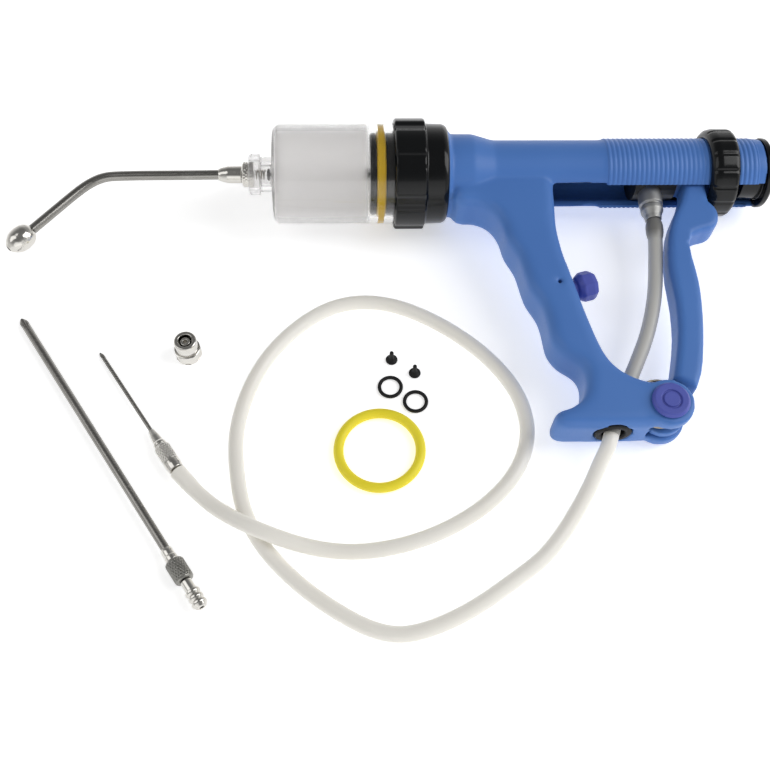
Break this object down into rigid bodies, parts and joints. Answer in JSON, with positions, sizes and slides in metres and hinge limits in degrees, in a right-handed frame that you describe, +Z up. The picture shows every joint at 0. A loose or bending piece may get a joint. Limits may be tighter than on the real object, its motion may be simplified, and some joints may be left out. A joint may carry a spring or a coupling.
{
  "type": "meat injector",
  "caption": "Back-fed piston injector lying on its side with bent nozzle, lever, hose, draw-off needle and loose spare needle, adapter, valves and rings.",
  "frame": {"origin": "centre of the footprint of everything but the hose and its needle, at table height", "axes": "+X runs back along the injector from nozzle to end plug, +Z up from the table, so the grip points to -Y"},
  "size_m": [0.3206, 0.2205, 0.0468],
  "materials": {
    "moulded_blue": "satin injection moulding",
    "moulded_purple": "satin injection moulding",
    "moulded_black": "glossy injection moulding",
    "clear_barrel": "clear moulding with a faint haze",
    "yellow_seal": "smooth",
    "black_rubber": "smooth",
    "milky_hose": "translucent extruded tube",
    "plated_brass": "nickel-plated turning",
    "steel": "drawn and polished"
  },
  "bodies": {
    "injector": {"gun_body": "moulded_blue", "barrel": "clear_barrel", "barrel_nut": "moulded_black", "barrel_gasket": "black_rubber", "rod_seal": "black_rubber", "rod_bush": "moulded_black", "outlet_spring": "steel", "button_pin": "steel", "button_spring": "steel", "pivot_pin": "steel", "pivot_cap_upper": "moulded_purple", "pivot_cap_lower": "moulded_purple", "lever_spring": "steel", "end_plug": "moulded_black", "hose_grommet": "black_rubber", "hose_held": "milky_hose", "hose_free": "milky_hose", "draw_barb": "plated_brass", "draw_collar": "plated_brass", "draw_hub": "plated_brass", "draw_needle": "steel"},
    "nozzle": {"nozzle_nut": "plated_brass", "nozzle_hub": "plated_brass", "nozzle_tube": "steel", "nozzle_tip": "plated_brass"},
    "piston": {"piston_front_plate": "moulded_black", "piston_ring": "yellow_seal", "piston_body": "moulded_black", "piston_rod": "steel", "carriage": "moulded_black", "drive_pin": "steel", "hose_nipple": "plated_brass"},
    "inlet_valve": {"inlet_valve": "black_rubber"},
    "outlet_valve": {"outlet_valve": "black_rubber"},
    "lever": {"lever": "moulded_blue"},
    "stop_button": {"stop_button": "moulded_purple"},
    "dose_ring": {"dose_ring": "moulded_black"},
    "long_needle": {"long_barb": "plated_brass", "long_hub": "plated_brass", "long_collar": "plated_brass", "long_needle": "steel"},
    "adapter": {"adapter_nut": "plated_brass", "adapter_core": "plated_brass"},
    "spare_valve_1": {"spare_valve_1": "black_rubber"},
    "spare_valve_2": {"spare_valve_2": "black_rubber"},
    "small_ring_1": {"small_ring_1": "black_rubber"},
    "small_ring_2": {"small_ring_2": "black_rubber"},
    "large_ring": {"large_ring": "yellow_seal"}
  },
  "joints": [
    {"name": "lever_squeeze", "type": "hinge", "parent": "injector", "child": "lever", "pos_m": [0.09997, -0.0334, 0.01342], "axis": [0.034, -0.0597, 0.9976], "range_deg": [0, 17.93], "stiffness_Nm_per_rad": 0.6, "springref_deg": -8.59, "deforming": ["lever_spring"]},
    {"name": "piston_travel", "type": "slide", "parent": "injector", "child": "piston", "axis": [-0.9994, 0, 0.034], "range_m": [0, 0.0361], "deforming": ["hose_held"]},
    {"name": "inlet_valve_lift", "type": "slide", "parent": "piston", "child": "inlet_valve", "axis": [-0.9994, 0, 0.034], "range_m": [0, 0.0008]},
    {"name": "outlet_valve_lift", "type": "slide", "parent": "injector", "child": "outlet_valve", "axis": [-0.9994, 0, 0.034], "range_m": [0, 0.0009], "stiffness_N_per_m": 40, "springref_m": -0.001, "deforming": ["outlet_spring"]},
    {"name": "button_press", "type": "slide", "parent": "injector", "child": "stop_button", "axis": [-0.9659, -0.2584, 0.0174], "range_m": [0, 0.0035], "stiffness_N_per_m": 600, "springref_m": -0.002, "deforming": ["button_spring"]},
    {"name": "dose_turn", "type": "hinge", "parent": "injector", "child": "dose_ring", "pos_m": [0.13848, 0.0798, 0.01888], "axis": [0.9994, 0, -0.034], "continuous": true},
    {"name": "nozzle_swivel", "type": "hinge", "parent": "injector", "child": "nozzle", "pos_m": [-0.0617, 0.0798, 0.0257], "axis": [0.9994, 0, -0.034], "continuous": true},
    {"name": "long_needle_lift", "type": "slide", "parent": "injector", "child": "long_needle", "axis": [0, 0, 1], "range_m": [0, 0.1]},
    {"name": "adapter_lift", "type": "slide", "parent": "injector", "child": "adapter", "axis": [0, 0, 1], "range_m": [0, 0.1]},
    {"name": "spare_valve_1_lift", "type": "slide", "parent": "injector", "child": "spare_valve_1", "axis": [0, 0, 1], "range_m": [0, 0.1]},
    {"name": "spare_valve_2_lift", "type": "slide", "parent": "injector", "child": "spare_valve_2", "axis": [0, 0, 1], "range_m": [0, 0.1]},
    {"name": "small_ring_1_lift", "type": "slide", "parent": "injector", "child": "small_ring_1", "axis": [0, 0, 1], "range_m": [0, 0.1]},
    {"name": "small_ring_2_lift", "type": "slide", "parent": "injector", "child": "small_ring_2", "axis": [0, 0, 1], "range_m": [0, 0.1]},
    {"name": "large_ring_lift", "type": "slide", "parent": "injector", "child": "large_ring", "axis": [0, 0, 1], "range_m": [0, 0.1]}
  ],
  "couplings": [
    {"joint": "piston_travel", "follows": "lever_squeeze", "m_per_rad": 0.11503}
  ]
}
